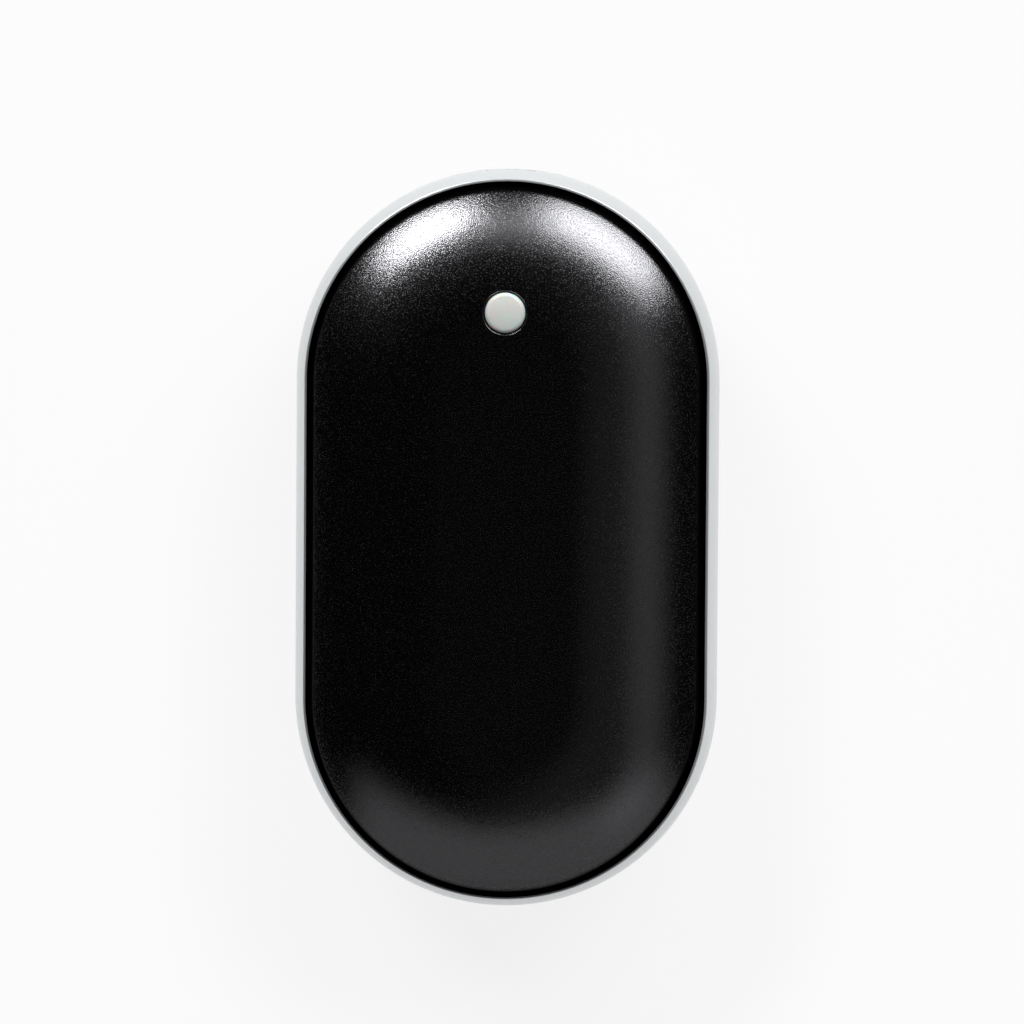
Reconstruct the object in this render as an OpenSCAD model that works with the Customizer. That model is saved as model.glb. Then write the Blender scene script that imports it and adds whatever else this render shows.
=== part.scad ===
// Rechargeable hand warmer: two thin metal shells on a moulded band, two round
// cells in a cradle, a heater behind each shell, one board and one push button.
// X is the width, +Y points to the end with the button and the charging inlet,
// +Z leaves the front face. The origin is the middle of the rear rest face.

/* [Body] */
// Overall width across the band
body_w = 60; // [58:0.5:64]
// Overall length along the band
body_l = 105; // [102:0.5:120]
// Thickness over the two shells
body_h = 27; // [26.5:0.25:29]

/* [Band] */
// Height of the band between the two shells
band_h = 9.6; // [9:0.1:10.4]
// How far the middle of the band stands out past its edges
band_bulge = 1.4; // [1:0.1:1.8]
// Step of the band that shows beside a shell's rim
band_ledge = 0.3; // [0.2:0.05:0.5]
// Width of the inner flange along the band
flange_w = 1.65; // [1.2:0.05:2]

/* [Shells] */
// Wall of each metal shell
shell_t = 0.8; // [0.6:0.05:1]
// Half width of the flat middle of a shell
flat_half = 9.2; // [8:0.1:11]
// Radius of the tight bend between a shell's crown and its rim
edge_r = 2.5; // [2.2:0.1:3]
// Straight part of the rim below the bend
rim_rise = 0.3; // [0.2:0.05:0.5]

/* [Liners] */
// Wall of the clip-on liner inside each shell
liner_t = 1.2; // [1:0.05:1.4]
// Distance from a shell's flat middle down to the liner's upper edge
liner_drop = 5.7; // [5.2:0.1:6.5]
// Length of one snap hook
hook_l = 4.6; // [3:0.1:6]
// Height of one snap hook
hook_h = 1; // [0.8:0.05:1.2]
// How far a snap hook stands out
hook_out = 0.5; // [0.3:0.05:0.6]
// Distance from an outer snap hook's middle to the end of the straight side
hook_from_end = 6.5; // [5:0.25:8]

/* [Button] */
// Distance from the end of the band to the button's middle
button_from_end = 19.9; // [19.5:0.1:21]
// Diameter of the button's head
button_d = 5.7; // [5:0.1:6.4]
// How far the button's edge stands above the crown
button_rise = 0.2; // [0.1:0.05:0.6]
// Radius of the dome on the button's head
button_dome_r = 12; // [8:0.5:30]
// Gap round the button's head in the shell
button_gap = 0.2; // [0.1:0.05:0.3]
// Width of the bevel round the shell's button hole
button_bevel = 0.4; // [0.2:0.05:0.6]
// How far the button is pressed to work the switch
button_travel = 0.25; // [0.15:0.05:0.35]
// Diameter of the collar that keeps the button in
collar_d = 8.4; // [7.6:0.1:9.4]
// Thickness of that collar
collar_t = 0.8; // [0.6:0.05:1]
// Diameter of the button's stem
stem_d = 3.4; // [3:0.1:4]

/* [Switch] */
// Side of the square switch body
switch_w = 6; // [5:0.1:6.6]
// Height of the switch's plastic base
switch_base_h = 3.1; // [2.6:0.1:3.4]
// Thickness of the switch's metal cover
switch_cover_t = 0.3; // [0.2:0.05:0.4]
// Height of the switch over its plunger
switch_h = 4.3; // [4:0.1:5]
// Diameter of the switch's plunger
plunger_d = 3.4; // [3:0.1:3.6]
// Diameter of the snap dome
dome_d = 4.4; // [4:0.1:4.6]
// Height of the snap dome
dome_h = 0.55; // [0.45:0.05:0.65]

/* [Charging inlet] */
// Width of the inlet's metal shell
inlet_w = 7.5; // [7:0.1:8]
// Height of the inlet's metal shell
inlet_h = 2.7; // [2.4:0.1:3]
// Depth of the inlet's metal shell
inlet_l = 5.2; // [5:0.1:6]
// Wall of the inlet's metal shell
inlet_t = 0.3; // [0.2:0.05:0.4]
// How far the inlet's mouth lies below the band's face
inlet_set_back = 0.3; // [0.2:0.05:0.6]
// Diameter of the round light guides beside the inlet
guide_d = 2.6; // [2:0.1:2.6]
// Distance from the middle to a light guide
guide_x = 5.7; // [5.6:0.05:6.2]

/* [Board] */
// Thickness of the circuit board
board_t = 1.2; // [1:0.1:1.6]
// Distance from the end of the band to the board's far edge
board_from_end = 23.5; // [23.2:0.1:25]
// Distance from that edge to the board's two screws
board_screw_inset = 9; // [8.6:0.1:10]
// Half width of the board's nose behind the inlet
nose_half = 8.6; // [8:0.1:9]

/* [Cells] */
// Gap between the two cells
cell_gap = 0.2; // [0.1:0.05:0.4]

/* [Screws] */
// Radius of the bosses that take the screws
boss_r = 2.4; // [2.2:0.1:2.6]

/* [Heaters] */
// Half width of each heater film
film_half = 14.2; // [13:0.1:14.6]
// Thickness of each heater film
film_t = 0.25; // [0.15:0.05:0.3]
// Thickness of the heater's metal track
track_t = 0.1; // [0.06:0.01:0.12]
// Width of the heater's metal track
track_w = 2; // [1:0.1:2.4]
// Distance between neighbouring runs of the track
track_pitch = 4; // [3.2:0.1:6]
// Thickness of the insulating pad over the front of the cells
front_pad_t = 2.1; // [1.5:0.1:2.2]
// Thickness of the insulating pad behind the cradle
rear_pad_t = 1; // [0.6:0.1:1.1]

/* [Fits] */
// Adhesive line between bonded pieces
bond = 0.1; // [0.05:0.01:0.15]
// Clearance between pieces that are put together
clear = 0.15; // [0.1:0.01:0.2]
// Room kept between pieces that don't touch
room = 0.3; // [0.2:0.05:0.35]

/* [Hidden] */
$fn = 96;
// Overrun of every cut
cut = 1;

// Body outline: a straight spine with round ends
half_w = body_w / 2;
spine = body_l / 2 - half_w;
mid_z = body_h / 2;
seam_z = mid_z + band_h / 2;
rim_u = half_w - band_bulge - band_ledge;
bulge_r = (pow(band_h / 2, 2) + pow(band_bulge, 2)) / (2 * band_bulge);

// Shell profile: a flat middle, the crown, the tight bend and the rim. The crown
// drops to the top of the bend, and its radius makes it run on from the flat middle
// into the bend. That radius is rounded to some steps per millimetre, so that the
// crown starts level with the flat middle. The bend reaches past the crown by a
// hair, so that the two arcs cross and don't only touch.
bend_z = seam_z + rim_rise;
bend_u = rim_u - edge_r;
crown_drop = body_h - bend_z - edge_r;
hair = edge_r / 500;
crown_wish = (pow(bend_u - flat_half, 2) / crown_drop + 2 * edge_r + crown_drop) / 2;
round_steps = 1000;
crown_r = round(round_steps * crown_wish) / round_steps;
arm = crown_r - edge_r + hair;
arm_z = bend_z - body_h + crown_r;
arm_u = sqrt(pow(arm, 2) - pow(arm_z, 2));
flat_u = bend_u - arm_u;
function join_u(inset) = bend_u + (edge_r - inset) * arm_u / arm;
function crown_fall(u) = crown_r - sqrt(pow(crown_r, 2) - pow(max(u - flat_u, 0), 2));

// Band and liners
frame_u = rim_u - shell_t - bond + clear;
flange_u = frame_u - flange_w;
flange_top = mid_z + inlet_h / 2;
flange_low = mid_z - inlet_h / 2;
liner_inset = shell_t + bond;
skirt_out = rim_u - liner_inset;
skirt_in = skirt_out - liner_t;
skirt_z = flange_top + room;
liner_rise = body_h - liner_drop - seam_z;
hook_z = (skirt_z + seam_z) / 2;
hook_places = [hook_from_end - spine, 0, spine - hook_from_end];

// Board, inlet and switch
board_z = flange_top;
board_top = board_z + board_t;
board_u = skirt_in - 2 * room;
nose_u = frame_u - room;
band_tip = spine + half_w;
board_y = band_tip - board_from_end;
board_boss_u = flange_u - boss_r - 2 * room;
board_boss_y = board_y + board_screw_inset;
board_boss_x = sqrt(pow(board_boss_u, 2) - pow(board_boss_y - spine, 2));
board_w = 2 * (board_boss_x + boss_r + room);
inlet_y = band_tip - inlet_set_back;
button_y = band_tip - button_from_end;
switch_top = board_top + switch_h;

// Button, from its head down to the switch
head_top = body_h + button_rise;
collar_top = body_h - shell_t - crown_fall(button_y - spine + collar_d / 2) - room;
collar_z = collar_top - collar_t;
web_t = 1.2;
web_top = collar_z - button_travel - room;
web_z = web_top - web_t;

// Layers from the shell in to the cells
film_inset = shell_t + bond;
pad_inset = film_inset + film_t + track_t + bond;
rib_t = 1.6;

// Cells side by side, as thick as the layers over them and the screws beside them
// allow, and as long as the board and the round end of the band leave them
cell_r = min(mid_z - pad_inset - front_pad_t - 3 * room,
    (flange_u - 2 * boss_r - rib_t - 3 * room - cell_gap / 2) / 2);
cell_x = cell_r + cell_gap / 2;
cell_corner_u = flange_u - 7 * room;
cell_y = -spine - sqrt(pow(cell_corner_u, 2) - pow(cell_x + cell_r, 2));
terminal_l = 0.7;
cell_end = board_y - 5 * room;
can_end = cell_end - terminal_l;
strip_t = 0.2;
strip_half_w = cell_x + cell_r / 3;
strip_half_h = cell_r / 3;

// Cradle under the cells
tray_z = pad_inset + rear_pad_t + crown_fall(film_half) + room;
tray_half = cell_x + cell_r + 4 * room;
tray_top = mid_z - flange_w;
tray_end = cell_end - 2 * room;
tray_u = cell_corner_u;
tray_inset = liner_inset + liner_t + room;
ear_t = 1.4;
ear_z = flange_low - ear_t;
rib_count = 5;

// Screws
screw_r = 1;
head_r = 1.8;
head_h = 1.2;
pilot_r = screw_r + clear / 3;
tray_boss_x = flange_u - boss_r;
tray_boss_y = spine - boss_r;

// Heaters
bead_w = 2;
bead_l = 1.6;
bead_h = 0.9;
heater_end = cell_end - 6 * room;
heater_start = -spine - film_half / 2;
pad_end = heater_end - 1.5 * bead_l;
track_half = flat_u - room;
film_low = body_h - film_inset - film_t;
track_low = film_low - track_t;
lead_r = 0.5;
lead_x = track_half - lead_r;
lead_pitch = 3 * lead_r;
lead_y = cell_end + lead_r + room;

// Chips on the board
cap_w = 1.6;
cap_l = 0.8;
cap_h = 0.8;
coil_w = 6;
coil_h = 3;
chip_w = 5;
chip_l = 4;
chip_h = 1.5;

// Sweeps a half profile, drawn in distance from the spine and height, round the outline
module sweep() {
    for (turn = [0, 180])
        rotate([0, 0, turn])
            translate([0, spine, 0])
                rotate_extrude(angle = 180)
                    children();
    for (side = [0, 1])
        mirror([side, 0, 0])
            translate([0, spine, 0])
                rotate([90, 0, 0])
                    linear_extrude(2 * spine)
                        children();
}

// Half profile under the shell's outer face, drawn in by an inset, above a low edge.
// An inset deeper than the bend leaves a plain corner there.
module dome_profile(inset, low) {
    translate([0, low])
        square([flat_u, body_h - inset - low]);
    intersection() {
        translate([flat_u, body_h - crown_r])
            circle(r = crown_r - inset);
        union() {
            translate([flat_u, low])
                square([join_u(inset) - flat_u, body_h - low]);
            translate([0, low])
                square([rim_u - inset, bend_z - low]);
            if (inset < edge_r)
                intersection() {
                    translate([bend_u, bend_z])
                        circle(r = edge_r - inset);
                    translate([bend_u, bend_z])
                        square([edge_r, edge_r]);
                }
        }
    }
}

// Turns a piece of the front half over to the rear half
module to_rear() {
    translate([0, 0, body_h])
        mirror([0, 0, 1])
            children();
}

// Flat stadium outline at a distance from the spine
module stadium(u) {
    for (side = [-1, 1])
        translate([0, side * spine])
            circle(r = u);
    square([2 * u, 2 * spine], center = true);
}

// Box given by its low and high corners
module box(low, high) {
    translate(low)
        cube(high - low);
}

// Chip that stands on the board's front side
module front_chip(x, y, size) {
    translate([x - size[0] / 2, y - size[1] / 2, board_top])
        cube(size);
}

// Chip that hangs from the board's rear side
module rear_chip(x, y, size) {
    translate([x - size[0] / 2, y - size[1] / 2, board_z - size[2]])
        cube(size);
}

// Cross-head screw whose shank points up from the underside of what it clamps
module screw(grip) {
    difference() {
        translate([0, 0, -head_h])
            cylinder(r = head_r, h = head_h);
        for (turn = [0, 90])
            rotate([0, 0, turn])
                translate([-head_r * 0.6, -head_r / 8, -head_h - cut])
                    cube([head_r * 1.2, head_r / 4, head_h / 2 + cut]);
    }
    cylinder(r = screw_r, h = grip);
}

// Unit vector along a step
function unit(v) = v / norm(v);

// Direction of a wire's run that ends at point i
function run_to(points, i) = unit(points[i] - points[i - 1]);

// Ring of points moved along a direction until it meets the plane through a point
function onto(ring, along, point, normal) =
    [for (p = ring) p + along * ((normal * (point - p)) / (normal * along))];

// Normal of the plane where a wire turns at point i, or ends
function turn_at(points, i) =
    i < len(points) - 1 ? unit(run_to(points, i) + run_to(points, i + 1)) : run_to(points, i);

// Rings from point i to the wire's end, each mitred into its corner
function rings(points, i, ring) =
    i == len(points) ? [ring] : concat([ring], rings(points, i + 1,
        onto(ring, run_to(points, i), points[i], turn_at(points, i))));

// Wire with mitred corners through a list of points
module wire(points, r) {
    sides = 8;
    along = run_to(points, 1);
    across = unit(cross(along, abs(along[0]) < abs(along[1]) ? [1, 0, 0] : [0, 1, 0]));
    above = cross(along, across);
    start = [for (k = [0 : sides - 1])
        points[0] + r * (cos(360 * k / sides) * across + sin(360 * k / sides) * above)];
    all = rings(points, 1, start);
    last = (len(all) - 1) * sides;
    polyhedron(points = [for (ring = all) each ring],
        faces = concat(
            [[for (k = [0 : sides - 1]) k]],
            [for (i = [0 : len(all) - 2], k = [0 : sides - 1])
                [i * sides + k, (i + 1) * sides + k, (i + 1) * sides + (k + 1) % sides]],
            [for (i = [0 : len(all) - 2], k = [0 : sides - 1])
                [i * sides + k, (i + 1) * sides + (k + 1) % sides, i * sides + (k + 1) % sides]],
            [[for (k = [sides - 1 : -1 : 0]) last + k]]));
}

// Metal shell of the front half, without its button hole
module plain_shell() {
    sweep()
        difference() {
            dome_profile(0, seam_z);
            dome_profile(shell_t, seam_z - cut);
        }
}

module front_shell() {
    hole_r = button_d / 2 + button_gap;
    color("#101012")
        difference() {
            plain_shell();
            translate([0, button_y, seam_z])
                cylinder(r = hole_r, h = body_h);
            translate([0, button_y, body_h - button_bevel])
                cylinder(r1 = hole_r, r2 = hole_r + 2 * button_bevel, h = 2 * button_bevel);
        }
}

module rear_shell() {
    color("#101012")
        to_rear()
            plain_shell();
}

// Half profile of the band: bulged outside, with the flange inside
module band_profile() {
    intersection() {
        translate([half_w - bulge_r, mid_z])
            circle(r = bulge_r);
        translate([frame_u, mid_z - band_h / 2])
            square([half_w - frame_u + cut, band_h]);
    }
    translate([flange_u, flange_low])
        square([frame_u - flange_u + bond, inlet_h]);
}

// Lug on the flange that takes a screw
module lug(x, y) {
    reach = flange_u - norm([x, max(abs(y) - spine, 0)]) + flange_w / 2;
    angle = atan2(max(abs(y) - spine, 0) * sign(y), x);
    translate([x, y, flange_low])
        linear_extrude(inlet_h) {
            circle(r = boss_r);
            rotate(angle)
                translate([0, -boss_r])
                    square([reach, 2 * boss_r]);
        }
}

// Places for the four tray screws
module at_tray_bosses() {
    for (x = [-tray_boss_x, tray_boss_x])
        for (y = [-tray_boss_y, tray_boss_y])
            translate([x, y, 0])
                children();
}

// Places for the two board screws
module at_board_bosses() {
    for (x = [-board_boss_x, board_boss_x])
        translate([x, board_boss_y, 0])
            children();
}

// Hooks of the front liner, grown by a clearance for their pockets
module hooks(grow) {
    for (side = [-1, 1])
        for (y = hook_places)
            translate([side * (skirt_out + hook_out / 2), y, hook_z])
                cube([hook_out + bond + 2 * grow, hook_l + 2 * grow, hook_h + 2 * grow], center = true);
}

// Outline of the inlet's metal shell, seen from outside, drawn in by an inset
module inlet_outline(inset) {
    slant = inlet_h / 3;
    w = inlet_w / 2 - inset;
    h = inlet_h / 2 - inset;
    polygon([[-w, h], [w, h], [w, slant - h], [w - slant, -h], [slant - w, -h], [-w, slant - h]]);
}

// Stands an outline up in the plane of the inlet's mouth and extrudes it inwards
module from_mouth(depth) {
    translate([0, inlet_y, mid_z])
        rotate([90, 0, 0])
            linear_extrude(depth)
                children();
}

module mid_frame() {
    mouth_w = inlet_w + 2 * clear;
    mouth_h = inlet_h + 2 * clear;
    color("#e4e8ea")
        difference() {
            union() {
                sweep()
                    band_profile();
                for (x = [-tray_boss_x, tray_boss_x])
                    for (y = [-tray_boss_y, tray_boss_y])
                        lug(x, y);
                for (x = [-board_boss_x, board_boss_x])
                    lug(x, board_boss_y);
            }
            hooks(clear);
            to_rear()
                hooks(clear);
            translate([-mouth_w / 2, 0, mid_z - mouth_h / 2])
                cube([mouth_w, body_l, mouth_h]);
            translate([-nose_half, spine, flange_low - cut])
                cube([2 * nose_half, nose_u - clear, inlet_h + 2 * cut]);
            for (x = [-guide_x, guide_x])
                translate([x, spine, mid_z])
                    rotate([-90, 0, 0])
                        cylinder(r = guide_d / 2 + bond, h = body_l);
            at_tray_bosses()
                translate([0, 0, flange_low - cut])
                    cylinder(r = pilot_r, h = inlet_h + 2 * cut);
            at_board_bosses()
                translate([0, 0, flange_low - cut])
                    cylinder(r = pilot_r, h = inlet_h + 2 * cut);
        }
}

// Half profile of a liner's ring, which hugs the shell from the seam up to a height
module ring_profile(rise) {
    intersection() {
        difference() {
            dome_profile(liner_inset, seam_z);
            dome_profile(liner_inset + liner_t, seam_z - cut);
        }
        translate([0, seam_z])
            square([rim_u, rise]);
    }
}

// Ring bonded into a shell, with a skirt that clips into the band
module plain_liner() {
    sweep() {
        ring_profile(liner_rise);
        translate([skirt_in, skirt_z])
            square([liner_t, bend_z - skirt_z]);
    }
    hooks(0);
}

module front_liner() {
    bore_r = stem_d / 2 + clear;
    color("#d9d9d4")
        difference() {
            union() {
                plain_liner();
                intersection() {
                    sweep()
                        ring_profile(web_top - seam_z);
                    box([-half_w, board_y, seam_z], [half_w, body_l, web_top]);
                }
                intersection() {
                    sweep()
                        dome_profile(liner_inset, seam_z);
                    box([-half_w, board_y, web_z], [half_w, body_l, web_top]);
                }
                translate([0, button_y, web_z - web_t / 2])
                    cylinder(r = bore_r + web_t, h = web_t);
            }
            translate([0, button_y, seam_z])
                cylinder(r = bore_r, h = body_h);
            translate([-nose_half - room, spine, flange_top])
                cube([2 * (nose_half + room), body_l, board_t + room]);
        }
}

module rear_liner() {
    color("#d9d9d4")
        to_rear()
            plain_liner();
}

module button_cap() {
    head_r = button_d / 2;
    dome_z = head_top + sqrt(pow(button_dome_r, 2) - pow(head_r, 2)) - button_dome_r;
    color("#dfe3e6")
        translate([0, button_y, 0]) {
            intersection() {
                translate([0, 0, collar_z])
                    cylinder(r = head_r, h = body_h);
                translate([0, 0, 2 * head_top - dome_z - button_dome_r])
                    sphere(r = button_dome_r);
            }
            translate([0, 0, collar_z])
                cylinder(r = collar_d / 2, h = collar_t);
            translate([0, 0, switch_top])
                cylinder(r = stem_d / 2, h = collar_z - switch_top);
        }
}

// Room in the switch's base for the snap dome and the plunger's foot
well_r = dome_d / 2 + clear;
well_z = board_top + switch_base_h / 3;
plunger_foot_z = well_z + dome_h + bond / 2;

module switch_base() {
    color("#2a2a2c")
        translate([0, button_y, 0])
            difference() {
                translate([-switch_w / 2, -switch_w / 2, board_top])
                    cube([switch_w, switch_w, switch_base_h]);
                translate([0, 0, well_z])
                    cylinder(r = well_r, h = switch_base_h);
            }
}

module switch_cover() {
    color("#c9ccce")
        translate([0, button_y, 0])
            difference() {
                translate([-switch_w / 2, -switch_w / 2, board_top + switch_base_h])
                    cube([switch_w, switch_w, switch_cover_t]);
                translate([0, 0, board_top])
                    cylinder(r = plunger_d / 2 + bond, h = switch_h);
            }
}

module switch_plunger() {
    foot_top = board_top + switch_base_h - bond;
    color("#1c1c1e")
        translate([0, button_y, 0]) {
            translate([0, 0, plunger_foot_z])
                cylinder(r = plunger_d / 2, h = switch_top - plunger_foot_z);
            translate([0, 0, (plunger_foot_z + foot_top) / 2])
                cylinder(r = well_r - clear, h = (foot_top - plunger_foot_z) / 2);
        }
}

module switch_dome() {
    ball_r = (pow(dome_d / 2, 2) + pow(dome_h, 2)) / (2 * dome_h);
    color("#b9bcc0")
        translate([0, button_y, 0])
            intersection() {
                difference() {
                    translate([0, 0, well_z + dome_h - ball_r])
                        sphere(r = ball_r);
                    translate([0, 0, well_z + dome_h - ball_r])
                        sphere(r = ball_r - bond);
                }
                translate([0, 0, well_z])
                    cylinder(r = well_r, h = dome_h + cut);
            }
}

module switch_pins() {
    pin_w = switch_w / 8;
    pin_l = switch_w / 5;
    color("#c9ccce")
        for (x = [-1, 1])
            for (y = [-switch_w / 4, switch_w / 4])
                front_chip(x * (switch_w + pin_l) / 2, button_y + y, [pin_l, pin_w, strip_t]);
}

module circuit_board() {
    color("#1f5a36")
        difference() {
            translate([0, 0, board_z])
                linear_extrude(board_t) {
                    intersection() {
                        stadium(board_u);
                        translate([-board_w / 2, board_y])
                            square([board_w, body_l]);
                    }
                    intersection() {
                        stadium(nose_u);
                        translate([-nose_half, board_y])
                            square([2 * nose_half, body_l]);
                    }
                }
            at_board_bosses()
                translate([0, 0, board_z - cut])
                    cylinder(r = pilot_r, h = board_t + 2 * cut);
        }
}

module inlet_shell() {
    color("#b9bcc0")
        difference() {
            from_mouth(inlet_l)
                inlet_outline(0);
            translate([0, cut, 0])
                from_mouth(inlet_l - inlet_t + cut)
                    inlet_outline(inlet_t);
        }
}

tongue_w = inlet_w / 2;
tongue_t = inlet_h / 4;
tongue_l = inlet_l - inlet_t - inlet_h / 3;
tongue_z = mid_z;

module inlet_tongue() {
    back_t = inlet_h / 4;
    color("#222224")
        translate([0, inlet_y - inlet_l + inlet_t, tongue_z]) {
            translate([-tongue_w / 2, 0, 0])
                cube([tongue_w, tongue_l, tongue_t]);
            translate([-tongue_w / 2, 0, inlet_t - inlet_h / 2])
                cube([tongue_w, back_t, inlet_h - 2 * inlet_t]);
        }
}

module inlet_contacts() {
    pitch = tongue_w / 6;
    color("#d8b35a")
        for (i = [-2 : 2])
            translate([i * pitch - pitch / 4, inlet_y - inlet_l + 2 * inlet_h / 3, tongue_z - bond])
                cube([pitch / 2, tongue_l / 2, bond]);
}

module light_guides() {
    back_y = inlet_y - inlet_l + inlet_h / 2;
    color("#f2f2ee")
        intersection() {
            for (x = [-guide_x, guide_x])
                translate([x, back_y, mid_z])
                    rotate([-90, 0, 0])
                        cylinder(r = guide_d / 2, h = body_l);
            sweep()
                intersection() {
                    translate([half_w - bulge_r, mid_z])
                        circle(r = bulge_r - bond);
                    translate([0, mid_z - band_h / 2])
                        square([half_w, band_h]);
                }
        }
}

module indicator_leds() {
    led_l = inlet_h / 2;
    color("#f4f0c8")
        for (x = [-guide_x, guide_x])
            rear_chip(x, inlet_y - inlet_l + inlet_h / 2 - led_l, [guide_d, led_l, inlet_h * 0.8]);
}

module button_led() {
    color("#f4f0c8")
        front_chip(-switch_w, button_y, [cap_w, cap_l, cap_h]);
}

coil_x = (coil_w - board_w) / 2 + 3 * room;
coil_y = board_y + coil_w / 2 + 2 * room;

module inductor_core() {
    color("#3c3c40")
        difference() {
            front_chip(coil_x, coil_y, [coil_w, coil_w, coil_h]);
            translate([coil_x, coil_y, board_top + coil_h / 6])
                difference() {
                    cylinder(r = coil_w * 0.44, h = coil_h);
                    translate([0, 0, -cut])
                        cylinder(r = coil_w * 0.2, h = coil_h + 2 * cut);
                }
        }
}

module inductor_winding() {
    color("#b5622d")
        translate([coil_x, coil_y, board_top + coil_h / 6])
            difference() {
                cylinder(r = coil_w * 0.44 - bond, h = coil_h * 0.7);
                translate([0, 0, -cut])
                    cylinder(r = coil_w * 0.2 + bond, h = coil_h + 2 * cut);
            }
}

module charge_ic() {
    color("#1b1b1d")
        front_chip(board_w * 0.3, board_y + chip_l, [chip_w, chip_l, chip_h]);
}

module control_ic() {
    color("#1b1b1d")
        rear_chip(-board_w * 0.12, board_y + chip_l, [chip_w, chip_l, chip_h]);
}

module heater_mosfets() {
    color("#1b1b1d")
        for (x = [board_w * 0.12, board_w * 0.28])
            rear_chip(x, board_y + chip_l, [chip_w * 0.6, chip_l * 0.4, chip_h * 0.7]);
}

module capacitors() {
    row_end = board_boss_x - head_r - cap_l / 2 - 2 * room;
    color("#a58a63")
        for (i = [0 : 3])
            front_chip(row_end - i * 1.5 * cap_w, board_y + 2.5 * chip_l, [cap_l, cap_w, cap_h]);
}

module resistors() {
    color("#2c2c30")
        for (i = [0 : 4])
            rear_chip(i * 1.5 * cap_w - board_w * 0.08, board_y + 2.2 * chip_l, [cap_l, cap_w, cap_h / 2]);
}

module board_screws() {
    color("#8f9296")
        at_board_bosses()
            translate([0, 0, board_top])
                mirror([0, 0, 1])
                    screw(board_t + inlet_h - room);
}

module cell(x) {
    groove_r = cell_r / 12;
    translate([x, cell_y, mid_z])
        rotate([-90, 0, 0])
            difference() {
                cylinder(r = cell_r, h = can_end - cell_y);
                translate([0, 0, can_end - cell_y - 4 * groove_r])
                    rotate_extrude()
                        translate([cell_r, 0])
                            circle(r = groove_r);
            }
}

module left_cell() {
    color("#2f6fae")
        cell(-cell_x);
}

module right_cell() {
    color("#2f6fae")
        cell(cell_x);
}

module cell_terminals() {
    color("#c9ccce")
        for (x = [-cell_x, cell_x])
            translate([x, can_end, mid_z])
                rotate([-90, 0, 0])
                    cylinder(r = cell_r / 3, h = terminal_l);
}

module cell_washers() {
    color("#f0efe9")
        for (x = [-cell_x, cell_x])
            translate([x, can_end, mid_z])
                rotate([-90, 0, 0])
                    difference() {
                        cylinder(r = cell_r * 0.85, h = strip_t);
                        translate([0, 0, -cut])
                            cylinder(r = cell_r / 3 + clear, h = 3 * cut);
                    }
}

module positive_strip() {
    tab_x = board_w * 0.14;
    color("#c4c6c4") {
        box([-strip_half_w, cell_end, mid_z - strip_half_h],
            [strip_half_w, cell_end + strip_t, board_top + strip_t]);
        box([tab_x, cell_end, board_top],
            [tab_x + strip_half_h, board_y + strip_half_h, board_top + strip_t]);
    }
}

lead_z = mid_z + cell_r / 2;

module negative_strip() {
    color("#c4c6c4") {
        box([-strip_half_w, cell_y - strip_t, mid_z - strip_half_h],
            [strip_half_w, cell_y, mid_z + strip_half_h]);
        box([-strip_half_h / 2, cell_y - strip_t, mid_z],
            [strip_half_h / 2, cell_y, lead_z + 2 * lead_r]);
    }
}

module negative_lead() {
    pad_x = -board_w * 0.12;
    turn_y = cell_end + 2 * lead_r;
    color("#1a1a1a")
        wire([[0, cell_y, lead_z],
            [0, turn_y, lead_z],
            [pad_x, turn_y, lead_z],
            [pad_x, turn_y + 3 * lead_r, board_top + 3 * lead_r],
            [pad_x, turn_y + 3 * lead_r, board_top]], 1.2 * lead_r);
}

// Open cradle with ribs and an end wall, on a floor that curves up along the shell
module battery_tray() {
    rib_step = (tray_end - cell_y - rib_t) / (rib_count - 1);
    dome_low = seam_z - band_h;
    color("#33363a")
        difference() {
            union() {
                intersection() {
                    translate([0, 0, tray_z])
                        linear_extrude(tray_top - tray_z)
                            stadium(tray_u);
                    to_rear()
                        sweep()
                            dome_profile(tray_inset, dome_low);
                    union() {
                        box([-tray_half, cell_y - 2 * rib_t, tray_z],
                            [tray_half, tray_end, tray_z + ear_t]);
                        intersection() {
                            box([-tray_half, cell_y - 2 * rib_t, tray_z],
                                [tray_half, tray_end, tray_top]);
                            to_rear()
                                sweep()
                                    difference() {
                                        dome_profile(tray_inset, dome_low);
                                        dome_profile(tray_inset + ear_t, dome_low - cut);
                                    }
                        }
                        for (i = [0 : rib_count - 1])
                            translate([-tray_half, cell_y + i * rib_step, tray_z])
                                cube([2 * tray_half, rib_t, tray_top - tray_z]);
                        for (side = [-1, 1])
                            translate([side * (tray_half - rib_t / 2) - rib_t / 2, cell_y, tray_z])
                                cube([rib_t, tray_end - cell_y, tray_top - tray_z]);
                        box([-tray_half, cell_y - 2 * rib_t, tray_z],
                            [tray_half, cell_y - rib_t, tray_top]);
                    }
                }
                for (side = [-1, 1])
                    for (y = [-tray_boss_y, tray_boss_y])
                        translate([side * tray_boss_x, y, ear_z]) {
                            cylinder(r = boss_r, h = ear_t);
                            translate([side * (tray_half - tray_boss_x) / 2, 0, ear_t / 2])
                                cube([tray_boss_x - tray_half + rib_t, 2 * boss_r, ear_t], center = true);
                        }
            }
            for (x = [-cell_x, cell_x])
                translate([x, cell_y - bond, mid_z])
                    rotate([-90, 0, 0])
                        cylinder(r = cell_r + clear, h = body_l);
            at_tray_bosses()
                translate([0, 0, ear_z - cut])
                    cylinder(r = pilot_r, h = ear_t + 2 * cut);
        }
}

module tray_screws() {
    color("#8f9296")
        at_tray_bosses()
            translate([0, 0, ear_z])
                screw(ear_t + inlet_h - room);
}

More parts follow.
